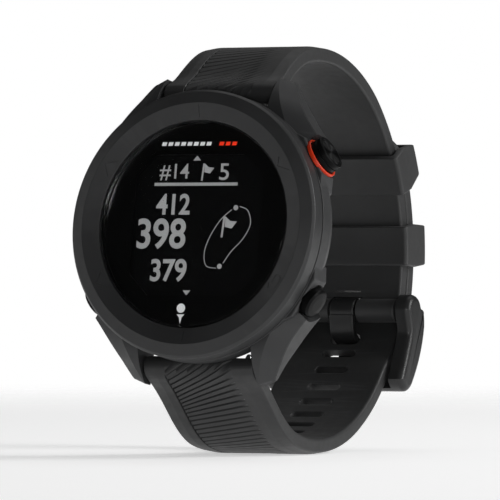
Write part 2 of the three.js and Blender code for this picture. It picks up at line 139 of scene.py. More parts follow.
BUCKLE_INNER = 10.4
CROSSBAR_INNER = 33.9  # radius on the loop of the crossbar's wrist side
CROSSBAR_REST = 35.2  # and of the flat that the tongue lies on
CROSSBAR_ANGLE = -25.8
TONGUE_HALF = 2.2
TONGUE_GAP = 0.4
KEEPER_ANGLES = {"lower": 10.4, "upper": 33.8}
KEEPER_HALF_ANGLES = {"lower": (6.3, 5.1), "upper": (6.6, 4.0)}  # wrist side, outside


def smooth(value, low, high):
    """0 below low, 1 above high, and an even curve between."""
    t = min(max((value - low) / (high - low), 0), 1)
    return t * t * (3 - 2 * t)


def mix(a, b, t):
    return a + (b - a) * t


def polar(radius, degrees):
    return Vector((radius * math.cos(math.radians(degrees)), radius * math.sin(math.radians(degrees))))


def on_loop(x, radius, angle):
    """A point of the strap's loop, x across it."""
    place = LOOP + polar(radius, angle)
    return Vector((x, place.x, place.y))


# ---- Outlines

def fillet(corners, radius=0.2, steps=4):
    """Rounds a closed outline. A corner is (a, b), or (a, b, radius) to have its own; 0 is sharp."""
    outline = []
    for index, corner in enumerate(corners):
        here = Vector(corner[:2])
        before = Vector(corners[index - 1][:2]) - here
        after = Vector(corners[(index + 1) % len(corners)][:2]) - here
        wanted = corner[2] if len(corner) > 2 else radius
        if wanted == 0:
            outline.append(here)
            continue
        half = max(before.angle(after, math.pi) / 2, 0.01)
        reach = min(wanted / math.tan(half) if half < 1.57 else 0, 0.45 * before.length, 0.45 * after.length)
        start = before.normalized() * reach
        end = after.normalized() * reach
        for step in range(steps + 1):
            t = step / steps
            outline.append(here + start * (1 - t) ** 2 + end * t ** 2)
    return outline


def inset(outline, distance):
    """A closed outline moved inwards."""
    count = len(outline)
    area = sum(outline[i - 1].x * outline[i].y - outline[i].x * outline[i - 1].y for i in range(count))
    side = 1 if area > 0 else -1
    ring = []
    for index, point in enumerate(outline):
        along = outline[(index + 1) % count] - outline[index - 1]
        if along.length < 1e-9:
            ring.append(point.copy())
            continue
        along.normalize()
        ring.append(point + side * distance * Vector((-along.y, along.x)))
    return ring


def circle(radius, centre=(0, 0), count=48):
    return [Vector(centre) + polar(radius, 360 * step / count) for step in range(count)]


def stroke(points, width):
    """The outline of an open line of the given width, with mitred corners."""
    line = [Vector(point) for point in points]
    left = []
    right = []
    for index, point in enumerate(line):
        ahead = line[min(index + 1, len(line) - 1)] - point
        behind = point - line[max(index - 1, 0)]
        ahead = (ahead if ahead.length else behind).normalized()
        behind = (behind if behind.length else ahead).normalized()
        normal = Vector((-ahead.y - behind.y, ahead.x + behind.x)).normalized()
        reach = width / 2 / max(normal.dot(Vector((-ahead.y, ahead.x))), 0.4)
        left.append(point + normal * reach)
        right.append(point - normal * reach)
    return left + right[::-1]


# ---- Meshes

def placed(name, data):
    """A new object in the scene."""
    obj = bpy.data.objects.new(name, data)
    bpy.context.scene.collection.objects.link(obj)
    return obj


def new_object(name, vertices, faces):
    """A mesh object with shared corners, outward normals and no loose edges."""
    mesh = bpy.data.meshes.new(name)
    mesh.from_pydata([tuple(vertex) for vertex in vertices], [], faces)
    bm = bmesh.new()
    bm.from_mesh(mesh)
    bmesh.ops.remove_doubles(bm, verts=bm.verts, dist=2e-4)
    loose = [edge for edge in bm.edges if not edge.link_faces]
    bmesh.ops.delete(bm, geom=loose, context="EDGES")
    bmesh.ops.recalc_face_normals(bm, faces=bm.faces)
    bm.to_mesh(mesh)
    bm.free()
    return placed(name, mesh)


def skin(name, rings, closed=False):
    """A surface through rings of equal point count, capped at both ends unless it is closed."""
    count = len(rings[0])
    faces = []
    for ring in range(len(rings) if closed else len(rings) - 1):
        here = ring * count
        there = ((ring + 1) % len(rings)) * count
        for corner in range(count):
            following = (corner + 1) % count
            faces.append((here + corner, here + following, there + following, there + corner))
    if not closed:
        last = (len(rings) - 1) * count
        faces.append(tuple(range(count))[::-1])
        faces.append(tuple(range(last, last + count)))
    return new_object(name, [point for ring in rings for point in ring], faces)


def revolve(name, outline, segments=192):
    """Turns a closed outline of (radius, depth) about the dial's axis."""
    rings = []
    for segment in range(segments):
        turn = polar(1, 360 * segment / segments)
        rings.append([(radius * turn.x, depth, radius * turn.y) for radius, depth in outline])
    return skin(name, rings, closed=True)


def prism(name, outline, low, high, edge=0.2, along="x", steps=3):
    """An outline drawn out along X, as (y, z), or along Y, as (x, z), with rounded edges."""
    rings = []
    quarter = [math.pi / 2 * step / steps for step in range(steps + 1)]
    stations = [(low + edge * (1 - math.cos(a)), edge * (1 - math.sin(a))) for a in quarter]
    stations += [(high - edge * (1 - math.cos(a)), edge * (1 - math.sin(a))) for a in quarter[::-1]]
    for place, shrink in stations:
        ring = inset(outline, shrink) if shrink > 1e-6 else outline
        if along == "x":
            rings.append([(place, point[0], point[1]) for point in ring])
        else:
            rings.append([(point[0], place, point[1]) for point in ring])
    return skin(name, rings)


def rod(name, radius, left, right, centre, edge=0.2, count=48):
    return prism(name, circle(radius, centre, count), left, right, edge)


def apply_modifiers(obj):
    graph = bpy.context.evaluated_depsgraph_get()
    mesh = bpy.data.meshes.new_from_object(obj.evaluated_get(graph))
    obj.modifiers.clear()
    obj.data = mesh
    return obj


def gathered(name, objects):
    """One object made of separate ones."""
    bm = bmesh.new()
    for obj in objects:
        bm.from_mesh(obj.data)
        bpy.data.objects.remove(obj)
    mesh = bpy.data.meshes.new(name)
    bm.to_mesh(mesh)
    bm.free()
    return placed(name, mesh)


def combine(obj, others, operation="DIFFERENCE"):
    """Cuts away or joins on the other objects, which don't overlap one another."""
    tool = gathered("tool", others)
    modifier = obj.modifiers.new("combine", "BOOLEAN")
    modifier.operation = operation
    modifier.solver = "EXACT"
    modifier.material_mode = "TRANSFER"
    modifier.object = tool
    apply_modifiers(obj)
    bpy.data.objects.remove(tool)
    return obj


def bevelled(obj, width, segments=3, angle=35):
    modifier = obj.modifiers.new("bevel", "BEVEL")
    modifier.width = width
    modifier.segments = segments
    modifier.limit_method = "ANGLE"
    modifier.angle_limit = math.radians(angle)
    modifier.miter_outer = "MITER_ARC"
    return apply_modifiers(obj)


def moved(obj, matrix):
    obj.data.transform(matrix)
    return obj


def copy_flipped(obj, x=1, z=1):
    """A copy of an object reflected across X or across Z."""
    twin = placed(obj.name, obj.data.copy())
    twin.data.transform(Matrix.Diagonal((x, 1, z, 1)))
    if x * z < 0:
        twin.data.flip_normals()
    return twin


def through_side(obj, angle):
    """Points something built along Y out through the case's side."""
    outward = Vector((math.cos(math.radians(angle)), 0, math.sin(math.radians(angle))))
    turn = Vector((0, 1, 0)).rotation_difference(outward).to_matrix().to_4x4()
    return moved(obj, Matrix.Translation((0, BUTTON_DEPTH, 0)) @ turn)


def finish_piece(obj, name, material, nodes, body=None, sharp=32):
    """Names, shades and colours a piece, and puts it in the frame in place of CAD nodes."""
    obj.name = name
    obj.data.name = name
    for polygon in obj.data.polygons:
        polygon.use_smooth = True
    obj.data.set_sharp_from_angle(angle=math.radians(sharp))
    weighted = obj.modifiers.new("normals", "WEIGHTED_NORMAL")
    weighted.keep_sharp = True
    apply_modifiers(obj)
    obj.data.transform(WATCH)
    if not obj.data.materials or obj.data.materials[0] is None:
        obj.data.materials.clear()
        obj.data.materials.append(material)
    if body:
        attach(obj, body)
    if nodes:
        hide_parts(*nodes)
    return obj


# ---- Materials

class Surface:
    """A procedural material: one Principled shader and a few helpers to feed it."""

    def __init__(self, name, roughness, metallic=0.0, **sockets):
        self.material = bpy.data.materials.new(name)
        self.material.use_nodes = True
        self.tree = self.material.node_tree
        self.shader = self.tree.nodes["Principled BSDF"]
        self.shader.inputs["Roughness"].default_value = roughness
        self.shader.inputs["Metallic"].default_value = metallic
        for socket, value in sockets.items():
            self.shader.inputs[socket.replace("_", " ")].default_value = value
        self.place = self.node("TexCoord").outputs["Object"]

    def node(self, kind, **settings):
        node = self.tree.nodes.new("ShaderNode" + kind)
        for key, value in settings.items():
            setattr(node, key, value)
        return node

    def link(self, source, target):
        self.tree.links.new(source, target)

    def noise(self, size_mm, detail=3, roughness=0.55):
        """Noise whose patches are about size_mm across, from 0 to 1."""
        noise = self.node("TexNoise")
        noise.inputs["Scale"].default_value = 1 / (size_mm * MM)
        noise.inputs["Detail"].default_value = detail
        noise.inputs["Roughness"].default_value = roughness
        self.link(self.place, noise.inputs["Vector"])
        return noise.outputs["Fac"]

    def span(self, source, low, high, to_low, to_high):
        ranged = self.node("MapRange", interpolation_type="SMOOTHSTEP")
        for socket, value in zip(ranged.inputs[1:5], (low, high, to_low, to_high)):
            socket.default_value = value
        self.link(source, ranged.inputs[0])
        return ranged.outputs[0]

    def blend(self, factor, first, second):
        """A colour between two, each a colour or a socket."""
        mixed = self.node("Mix", data_type="RGBA")
        self.link(factor, mixed.inputs["Factor"])
        for socket, value in ((mixed.inputs[6], first), (mixed.inputs[7], second)):
            if isinstance(value, tuple):
                socket.default_value = (*value, 1)
            else:
                self.link(value, socket)
        return mixed.outputs[2]

    def colour(self, source):
        self.link(source, self.shader.inputs["Base Color"])
        return self

    def roughness(self, source):
        self.link(source, self.shader.inputs["Roughness"])
        return self

    def bump(self, source, depth_mm, strength=1.0, below=None):
        bump = self.node("Bump")
        bump.inputs["Strength"].default_value = strength
        bump.inputs["Distance"].default_value = depth_mm * MM
        self.link(source, bump.inputs["Height"])
        if below:
            self.link(below, bump.inputs["Normal"])
        self.link(bump.outputs["Normal"], self.shader.inputs["Normal"])
        return bump.outputs["Normal"]


def shade(colour, factor):
    return tuple(channel * factor for channel in colour)


def moulded(name, colour, roughness, grain_mm=0.12, grain_depth=0.006, edge_highlight=1.35, **sockets):
    """Moulded plastic or rubber: eroded grain, faint flow marks and a painted highlight that lightens the colour
    along edges.
    """
    surface = Surface(name, roughness, **sockets)
    flow = surface.noise(7, 2)
    cloud = surface.noise(1.6, 4)
    body = surface.blend(surface.span(flow, 0.3, 0.7, 0, 1), shade(colour, 0.92), shade(colour, 1.08))
    body = surface.blend(surface.span(cloud, 0.45, 0.8, 0, 0.5), body, shade(colour, 0.9))
    # Painted highlight: the colour is lightened where pointiness is high, along edges.
    edges = surface.span(surface.node("NewGeometry").outputs["Pointiness"], 0.51, 0.58, 0, 0.7)
    surface.colour(surface.blend(edges, body, shade(colour, edge_highlight)))
    grain = surface.noise(grain_mm, 2, 0.6)
    surface.roughness(surface.span(cloud, 0.25, 0.75, roughness - 0.05, roughness + 0.06))
    coarse = surface.bump(cloud, 0.01, 0.25)
    surface.bump(grain, grain_depth, 0.8, coarse)
    return surface.material


def metal(name, colour, roughness, line_mm=0.06):
    """Turned or plated metal: fine lines and faint tarnish."""
    surface = Surface(name, roughness, metallic=1.0, Anisotropic=0.3)
    tarnish = surface.noise(0.8, 4)
    surface.colour(surface.blend(surface.span(tarnish, 0.35, 0.75, 0, 1), colour, shade(colour, 0.8)))
    surface.roughness(surface.span(tarnish, 0.3, 0.7, roughness - 0.05, roughness + 0.1))
    surface.bump(surface.noise(line_mm, 3), 0.004, 0.6)
    return surface.material


def glass_material():
    """Clear polished glass with a very faint haze."""
    surface = Surface("lens_glass", 0.02, IOR=1.2)
    surface.shader.inputs["Transmission Weight"].default_value = 1.0
    haze = surface.noise(3, 3)
    surface.roughness(surface.span(haze, 0.3, 0.8, 0.012, 0.03))
    tint = surface.span(haze, 0.3, 0.8, 0, 1)
    surface.colour(surface.blend(tint, (0.96, 0.97, 0.97), (0.93, 0.94, 0.95)))
    return surface.material


def printed(name, colour, roughness=0.35):
    """A thin printed or display layer with a very fine dot pattern."""
    surface = Surface(name, roughness, Specular_IOR_Level=0.06)
    dots = surface.noise(0.1, 1)
    share = surface.span(dots, 0.35, 0.65, 0, 1)
    surface.colour(surface.blend(share, shade(colour, 0.88), shade(colour, 1.1)))
    surface.bump(dots, 0.0004, 0.2)
    return surface


def print_with_painted_glow(name, colour, strength):
    """A printed or shown layer with a painted glow: its emission makes it a little brighter than the light on it.
    """
    surface = printed(name, colour, 0.5)
    # Painted glow: an emission in the layer's own colour, though it is no lamp.
    surface.shader.inputs["Emission Color"].default_value = (*colour, 1)
    surface.shader.inputs["Emission Strength"].default_value = strength
    return surface.material


def board_material():
    """Green solder mask with copper tracks showing through as slightly lighter lines."""
    surface = Surface("board", 0.35)
    brick = surface.node("TexBrick")
    brick.inputs["Scale"].default_value = 1 / (1.4 * MM)
    brick.inputs["Color1"].default_value = (0.02, 0.12, 0.06, 1)
    brick.inputs["Color2"].default_value = (0.03, 0.16, 0.08, 1)
    brick.inputs["Mortar"].default_value = (0.09, 0.26, 0.12, 1)
    surface.link(surface.place, brick.inputs["Vector"])
    surface.colour(surface.blend(surface.noise(2, 3), brick.outputs["Color"], (0.02, 0.1, 0.05)))
    surface.bump(brick.outputs["Fac"], 0.03, 0.6)
    return surface.material


BEZEL_GREY = (0.0235, 0.0238, 0.0245)
CASE_GREY = (0.026, 0.0264, 0.0272)
SILICONE_GREY = (0.0185, 0.0188, 0.0192)
BUCKLE_GREY = (0.0135, 0.0137, 0.014)
CAP_BLACK = (0.003, 0.0031, 0.0032)

bezel_plastic = moulded("bezel", BEZEL_GREY, 0.4, 0.08, 0.0012, 1.25, Specular_IOR_Level=0.4)
# Painted highlight: the engraved marks are the bezel's own plastic, coloured light grey for the light their edges
# catch.
mark_painted_highlight = moulded("bezel_mark", (0.3, 0.302, 0.306), 0.5, 0.1, 0.003, 1.2)
case_plastic = moulded("case", CASE_GREY, 0.46, 0.1, 0.002, 1.4, Specular_IOR_Level=0.4)
silicone = moulded("silicone", SILICONE_GREY, 0.5, 0.14, 0.003, 1.8, Specular_IOR_Level=0.4,
                   Sheen_Weight=0.05, Sheen_Roughness=0.5)
buckle_plastic = moulded("buckle", BUCKLE_GREY, 0.34, 0.3, 0.002, 1.5, Specular_IOR_Level=0.35)
cap_plastic = moulded("button_cap", CAP_BLACK, 0.34, 0.1, 0.002, 2.0, Specular_IOR_Level=0.08)
accent_red = moulded("accent", (0.62, 0.035, 0.006), 0.32, 0.3, 0.002, 1.1)
seal_rubber = moulded("seal", (0.012, 0.012, 0.012), 0.75, 0.15, 0.006, 1.3)
chassis_plastic = moulded("chassis", (0.09, 0.095, 0.1), 0.6, 0.2, 0.01, 1.2)
steel = metal("steel", (0.56, 0.57, 0.58), 0.28)
gold = metal("contact", (0.78, 0.55, 0.22), 0.25)
foil = metal("cell", (0.55, 0.56, 0.57), 0.42, 0.5)
board = board_material()
lens = glass_material()
mask_black = printed("display", (0.0016, 0.0016, 0.0017)).material
panel_black = printed("display_panel", (0.0042, 0.0043, 0.0046)).material
# The display's figures and the white and red print on the glass have a painted glow.
figure_grey = print_with_painted_glow("display_figures", (0.3, 0.3, 0.3), 0.55)
print_white = print_with_painted_glow("print_white", (0.6, 0.6, 0.6), 0.6)
print_red = print_with_painted_glow("print_red", (0.62, 0.03, 0.01), 0.8)


# ---- Bezel

def on_bezel(angle, radius=18.2):
    """Turns a flat mark, (x, z) with y forwards, onto the bezel's inner slope."""
    rise = math.atan2(-BEZEL_CREST[1], BEZEL_CREST[0] - BEZEL_INNER)
    depth = -(radius - BEZEL_INNER) * math.tan(rise)
    outward = Matrix.Rotation(-math.radians(angle - 90), 4, "Y")
    return outward @ Matrix.Translation((0, depth, radius)) @ Matrix.Rotation(rise, 4, "X")


def engraving(name, outline, angle, deep=0.07, upright=True):
    mark = prism(name, outline, -0.4, deep, 0.02, along="y", steps=1)
    if not upright:
        mark = moved(mark, Matrix.Rotation(math.pi, 4, "Y"))
    # The marks take the light grey of their painted highlight.
    mark.data.materials.append(mark_painted_highlight)
    return moved(mark, on_bezel(angle))


def make_bezel():
    outline = fillet([
        (BEZEL_INNER, 0, 0.08), (*BEZEL_CREST, 0.16), (21.45, -0.3, 0.3), (CASE_RADIUS, 0.15, 0.3),
        (CASE_RADIUS, 2.8, 0.12), (20, 2.8, 0.05), (20, 4.2, 0.05), (15.3, 4.2, 0.05),
        (15.3, 2.4, 0.05), (BEZEL_INNER, 2.4, 0.1),
    ], steps=5)
    bezel = revolve("bezel", outline, 240)
    bezel.data.materials.append(bezel_plastic)
    width = 0.2
    chevron = stroke([(-1.5, -0.7), (0, 0.8), (1.5, -0.7)], width)
    check = stroke([(-1.45, 0.1), (-0.45, -0.85), (1.5, 0.95)], width)
    turn = [Vector((0.6, -0.3)) + polar(0.7, angle) for angle in range(90, -91, -20)]
    hook = stroke([(-0.6, 0.4), *turn, (-0.8, -1)], width)
    arrow_head = [Vector(corner) for corner in ((-1.5, 0.4), (-0.62, -0.25), (-0.62, 1.05))]
    index_line = stroke([(0, -0.95), (0, 1.05)], 0.16)
    marks = [
        engraving("mark_up", chevron, BUTTON_ANGLES["up"]),
        engraving("mark_down", chevron, BUTTON_ANGLES["down"]),
        engraving("mark_ok", check, BUTTON_ANGLES["ok"]),
        engraving("mark_back", hook, BUTTON_ANGLES["back"], upright=False),
        engraving("mark_back_head", arrow_head, BUTTON_ANGLES["back"], upright=False),
        engraving("twelve", index_line, 90),
        engraving("six", index_line, 270),
    ]
    combine(bezel, marks)
    finish_piece(bezel, "bezel_ring", bezel_plastic, ["bezel"], "case")


make_bezel()


# ---- Glass and display

MARK_DEPTH = 0.03
FIGURES_DEPTH = 2.28  # the display's face, behind the glass
PRINT_DEPTH = 1.55  # the print on the back of the glass
BAR_COUNT = 12
BAR_GAP = 8  # the place left empty between the white bars and the red ones


def octagon(half, cut, radius):
    near = half - cut
    corners = [(near, -half), (half, -near), (half, near), (near, half)]
    corners += [(-a, -b) for a, b in corners]
    return fillet([(*corner, radius) for corner in corners], steps=5)


def text_mesh(curve):
    """The mesh of a text curve, as an object."""
    holder = placed("figures", curve)
    bpy.context.view_layer.update()
    graph = bpy.context.evaluated_depsgraph_get()
    mesh = bpy.data.meshes.new_from_object(holder.evaluated_get(graph))
    bpy.data.objects.remove(holder)
    return placed("figures", mesh)


def figures(text, left, right, bottom, top, bold=0.022):
    """Figures in Blender's own plain type, fitted to a box on the display."""
    curve = bpy.data.curves.new("figures", "FONT")
    curve.body = text
    curve.offset = bold
    curve.extrude = 0.01
    curve.resolution_u = 8
    obj = text_mesh(curve)
    low = [min(vertex.co[axis] for vertex in obj.data.vertices) for axis in range(3)]
    high = [max(vertex.co[axis] for vertex in obj.data.vertices) for axis in range(3)]
    for vertex in obj.data.vertices:
        across = (vertex.co.x - low[0]) / (high[0] - low[0])
        upwards = (vertex.co.y - low[1]) / (high[1] - low[1])
        towards = (vertex.co.z - low[2]) / (high[2] - low[2])
        vertex.co = (mix(left, right, across), -MARK_DEPTH * towards, mix(bottom, top, upwards))
    return obj


def flat_mark(outline):
    return prism("mark", [Vector(point) for point in outline], -MARK_DEPTH, 0, 0.004, along="y", steps=1)


def course_line(points, width=0.13):
    return flat_mark(stroke(points, width))


def spline(corners, steps=10):
    """A smooth open line through the corners."""
    line = []
    ends = [corners[0], *corners, corners[-1]]
    for a, b, c, d in zip(ends, ends[1:], ends[2:], ends[3:]):
        a, b, c, d = (Vector(corner) for corner in (a, b, c, d))
        for step in range(steps):
            t = step / steps
            line.append(0.5 * (2 * b + (c - a) * t + (2 * a - 5 * b + 4 * c - d) * t ** 2
                               + (3 * b - a - 3 * c + d) * t ** 3))
    return line + [Vector(corners[-1])]


def flag(x, z, size):
    """A golf flag standing at (x, z)."""
    pole = flat_mark(stroke([(x, z), (x + 0.08 * size, z + size)], 0.1 * size))
    cloth = flat_mark([
        (x + 0.13 * size, z + size), (x + 0.13 * size, z + 0.5 * size),
        (x + 0.5 * size, z + 0.42 * size), (x + 0.75 * size, z + 0.75 * size),
        (x + 0.4 * size, z + 0.78 * size),
    ])
    return [pole, cloth]


def make_display():
    glass = revolve("lens", fillet([
        (0, 0, 0), (GLASS_RADIUS, 0, 0.3), (GLASS_RADIUS, 1.5, 0.15), (0, 1.5, 0)]), 192)
    finish_piece(glass, "lens_glass_dome", lens, ["lens_glass"], "case")
    mask = revolve("mask", [(0, 1.56), (16.5, 1.56), (16.5, 1.8), (0, 1.8)], 128)
    window = octagon(WINDOW_HALF, WINDOW_CUT, 1.2)
    combine(mask, [prism("window", window, 1, 2.2, 0.01, "y")])
    finish_piece(mask, "lens_print", mask_black, ["lens_mask"], "case")

    shown = [
        figures("#14", -7.6, -2.3, 7.4, 10.1, 0.004),
        figures("5", 3.2, 4.9, 7.4, 10.1, 0.004),
        *flag(0.1, 7.3, 2.8),
        flat_mark([(-8.4, 6.5), (6.6, 6.5), (6.6, 7.0), (-8.4, 7.0)]),
        figures("412", -7.8, -1.7, 1.8, 5.2),
        figures("398", -10.9, -2.1, -3.8, 1.2, 0.02),
        figures("379", -8.0, -1.5, -9.1, -5.4),
        flat_mark([(-1.7, 10.6), (-0.3, 10.6), (-1.0, 11.4)]),
        flat_mark([(-1.9, -10.5), (-0.5, -10.5), (-1.2, -11.3)]),
        *flag(4.4, -1.9, 3.4),
        flat_mark(circle(0.42, (6.6, 2.9), 24)),
        flat_mark(circle(0.42, (4.4, -6.6), 24)),
        course_line(spline([(7.3, 3.1), (8.8, 2.4), (9.4, 0.2), (8.2, -2.2), (6.3, -4.2), (5.0, -6.1)])),
        course_line(spline([(5.9, 2.6), (4.0, 0.9), (2.3, -1.8), (1.5, -4.4), (2.0, -6.5), (3.8, -6.9)])),
    ]
    for mark in shown:
        moved(mark, Matrix.Translation((0, FIGURES_DEPTH, 0)))
    finish_piece(gathered("figures", shown), "display_figures", figure_grey, [], "case", 20)

    onto_glass = Matrix.Translation((0, PRINT_DEPTH, 0))
    bars = []
    for index in range(BAR_COUNT):
        if index == BAR_GAP:
            continue
        left = -7.2 + 1.15 * index
        bar = flat_mark([(left, 12.9), (left + 0.8, 12.9), (left + 0.95, 13.5), (left + 0.15, 13.5)])
        bars.append(moved(bar, onto_glass))
    for name, part, print_material in (("print_bars_white", bars[:BAR_GAP], print_white),
                                       ("print_bars_red", bars[BAR_GAP:], print_red)):
        finish_piece(gathered("bars", part), name, print_material, [], "case", 20)
    ball = flat_mark(circle(0.75, (-1.6, -13.5), 40))
    tee = flat_mark([(-2.3, -14.5), (-0.9, -14.5), (-1.35, -15.0), (-1.6, -16.0), (-1.85, -15.0)])
    emblem = gathered("emblem", [ball, tee])
    finish_piece(moved(emblem, onto_glass), "print_ball_and_tee", print_white, [], "case", 20)


make_display()


# ---- Case

def lug_slice(height, shrink):
    """A lug's outline at a height: narrow front, wide bevel, a fine groove, side and back."""
    front = 3.35 + 3.8 * max(0, (height - 17) / 8) ** 2.5
    rear = 9.6 - 0.4 * smooth(height, 20, LUG_TIP)
    root = 2.2 * (1 - smooth(height, LUG_ROOT, LUG_ROOT + 2.2))
    side = 12.8 + 0.66 * (LUG_TIP - height) - root
    bevel = LUG_INNER + 0.1 + 0.45 * (LUG_TIP - height) - root
    deep = min(1.6, 0.35 * (rear - front))
    slant = 0.375 * (height - LUG_ROOT) / (LUG_TIP - LUG_ROOT)
    corner = Vector((side, front + deep))
    towards = (Vector((bevel, front)) - corner).normalized()
    groove = [corner + towards * 0.09, corner + Vector((-0.12, 0.08)), corner + Vector((0, 0.14))]
    outline = fillet([
        (LUG_INNER, front, 0.04), (bevel, front, 0.12), (*groove[0], 0.05), (*groove[1], 0),
        (*groove[2], 0.05), (side, rear - 0.5 * deep, 0.5), (side - deep, rear, 0.5),
        (LUG_INNER, rear, 0.25),
    ])
    ring = inset(outline, shrink) if shrink else outline
    return [(point.x, point.y, height - slant * (point.x - LUG_INNER)) for point in ring]


def make_lug():
    steps = 24
    round_off = 0.25
    slices = [lug_slice(mix(LUG_ROOT, LUG_TIP - round_off, step / steps), 0) for step in range(steps + 1)]
    for turn in (30, 60, 90):
        a = math.radians(turn)
        slices.append(lug_slice(LUG_TIP - round_off * (1 - math.sin(a)), 0.2 * (1 - math.cos(a))))
    return skin("lug", slices)


def make_seat(angle):
    """The flat seat round a button, which leans in towards the back."""
    rings = []
    for depth, lean, shrink in ((3.25, 0, 0.3), (3.35, 0, 0.08), (3.55, 0, 0), (7.2, 0, 0),
                                (7.6, 0.15, 0), (8.9, 1.45, 0), (9.1, 1.75, 0.15)):
        outline = fillet([
            (17, -5.6, 0), (20.9 - lean, -5.6, 0.5), (SEAT_FACE - lean, -3.5, 0.35),
            (SEAT_FACE - lean, 3.5, 0.35), (20.9 - lean, 5.6, 0.5), (17, 5.6, 0),
        ], steps=5)
        rings.append([(point.x, depth, point.y) for point in inset(outline, shrink)])
    return moved(skin("seat", rings), Matrix.Rotation(-math.radians(angle), 4, "Y"))


def make_pocket(name, angle):
    """What is cut out of the case's side for a button; the upper right one has a step for its ring."""
    well = 3.0 if name == "ok" else CAP_RADIUS + 0.3
    mouth = 3.45 if name == "ok" else CAP_RADIUS + 0.3
    floor = 21.8 if name == "ok" else 21.2
    outline = [(0, 17), (1.25, 17), (1.25, 21.2), (well, 21.2), (well, floor + 0.001),
               (mouth, floor + 0.002), (mouth, SEAT_FACE - 0.18), (mouth + 0.05, SEAT_FACE - 0.07),
               (mouth + 0.2, SEAT_FACE + 0.01), (mouth + 0.2, 25), (0, 25)]
    return through_side(revolve("pocket", outline, 96), angle)


def make_case():
    ring = revolve("case", fillet([
        (0, 3.1, 0), (CASE_RADIUS, 3.1, 0.12), (CASE_RADIUS + 0.1, 5.6, 1.5), (21.3, 7.4, 1),
        (19.7, 9.9, 0.4), (0, 9.9, 0),
    ], steps=5), 216)
    first = make_lug()
    lugs = [first, copy_flipped(first, x=-1), copy_flipped(first, z=-1), copy_flipped(first, x=-1, z=-1)]
    combine(ring, lugs, "UNION")
    combine(ring, [make_seat(angle) for angle in BUTTON_ANGLES.values()], "UNION")
    hollow = [(0, 2.9), (20.3, 2.9), (20.3, 4.5), (18.6, 4.5), (18.6, 7.6), (14.5, 7.6), (14.5, 8.6),
              (18, 8.6), (18, 10.2), (0, 10.2)]
    combine(ring, [revolve("hollow", hollow, 180)])
    cutters = [make_pocket(name, angle) for name, angle in BUTTON_ANGLES.items()]
    for side in (1, -1):
        bar = (BAR.x, side * BAR.y)
        cutters.append(rod("scoop", HUB_RADIUS + 0.3, -LUG_INNER, LUG_INNER, bar, 0.01, 64))
    combine(ring, cutters)
    finish_piece(ring, "case_shell", case_plastic, ["case_body"], "case")


make_case()


# ---- Buttons

def make_buttons():
    for name, angle in BUTTON_ANGLES.items():
        if name == "ok":
            top = 24.4
            wide = 2.9
            face = [(wide, CAP_SEAT, 0.12), (wide, 23.35, 0.05), (wide - 0.16, 23.42, 0.03),
                    (wide - 0.16, 23.6, 0.03), (wide, 23.67, 0.05), (wide, top, 0.28),
                    (2.36, top, 0.06), (2.3, top - 0.16, 0)]
            for ring in range(9):
                radius = 2.2 - 0.24 * ring
                face += [(radius, top - 0.16, 0), (radius - 0.12, top - 0.04, 0)]
            face.append((0, top - 0.16, 0))
        else:
            top = 23.7
            face = [(CAP_RADIUS, CAP_SEAT, 0.12), (CAP_RADIUS, top - 0.35, 0.12), (2.1, top - 0.08, 0.3),
                    (1.2, top, 0.5), (0, top, 0)]
        outline = fillet([(0, 17.2, 0), (0.9, 17.2, 0.1), (0.9, CAP_SEAT, 0), *face])
        cap = through_side(revolve("cap", outline, 96), angle)
        finish_piece(cap, f"cap_{name}", cap_plastic, [f"button_{name}"], f"button_{name}", 40)
    ring = revolve("ring", fillet([(3.02, 21.95), (3.4, 21.95), (3.4, 22.62), (3.02, 22.62)], 0.14), 96)
    finish_piece(through_side(ring, BUTTON_ANGLES["ok"]), "ok_ring", accent_red,
                 ["ok_accent_ring"], "case")


make_buttons()


# ---- Back

def make_screw():
    """A screw of the back cover, with a six-sided socket."""
    screw = revolve("screw", fillet([
        (0, 8, 0), (0.5, 8, 0.1), (0.5, 10.15, 0), (0.95, 10.15, 0.05), (0.95, 10.5, 0.15),
        (0, 10.5, 0),
    ]), 48)
    combine(screw, [prism("socket", circle(0.48, count=6), 10.2, 11, 0.01, "y")])
    return screw


def make_back():
    cover = revolve("cover", fillet([
        (0, 9.5, 0), (17.7, 9.5, 0.1), (17.7, 10.05, 0.2), (16.9, BACK_FACE, 0.3),
        (13.9, BACK_FACE, 0.05), (13.85, 10.5, 0), (13.6, 10.5, 0), (13.55, BACK_FACE, 0.05),
        (0, BACK_FACE, 0),
    ]), 192)
    pad = fillet([(-4.7, -9.3), (4.7, -9.3), (4.7, -6.7), (-4.7, -6.7)], 1.25, 8)
    combine(cover, [prism("pad", pad, 10.45, 11, 0.01, "y")])
    contact_hole = [(0, 9), (0.85, 9), (0.85, 11), (0, 11)]
    contact_pin = [(0, 9.3, 0), (0.55, 9.3, 0.05), (0.55, 10.5, 0.15), (0, 10.5, 0)]
    screw_hole = [(0, 9), (0.8, 9), (0.8, 9.95), (1.25, 9.95), (1.25, 11), (0, 11)]
    holes = []
    for number, x in enumerate((-3.3, -1.1, 1.1, 3.3), 1):
        shift = Matrix.Translation((x, 0, -8))
        holes.append(moved(revolve("hole", contact_hole, 40), shift))
        contact = moved(revolve("contact", fillet(contact_pin), 40), shift)
        finish_piece(contact, f"contact_pin_{number}", gold, [f"charge_contact_{number}"], "case")
    for number, angle in enumerate((45, 135, 225, 315), 1):
        place = polar(16.5, angle)
        shift = Matrix.Translation((place.x, 0, place.y))
        holes.append(moved(revolve("sink", screw_hole, 48), shift))
        finish_piece(moved(make_screw(), shift), f"cover_screw_{number}", steel,
                     [f"back_screw_{number}"], "case")
    combine(cover, holes)
    finish_piece(cover, "back_plate", case_plastic, ["back_cover"], "case")


make_back()


# ---- Straps
# A strap's rows run from its lug to its far end. reach is a row's angle, positive towards its own
# lug, so the upper strap's angles are reach and the lower strap's are -reach.

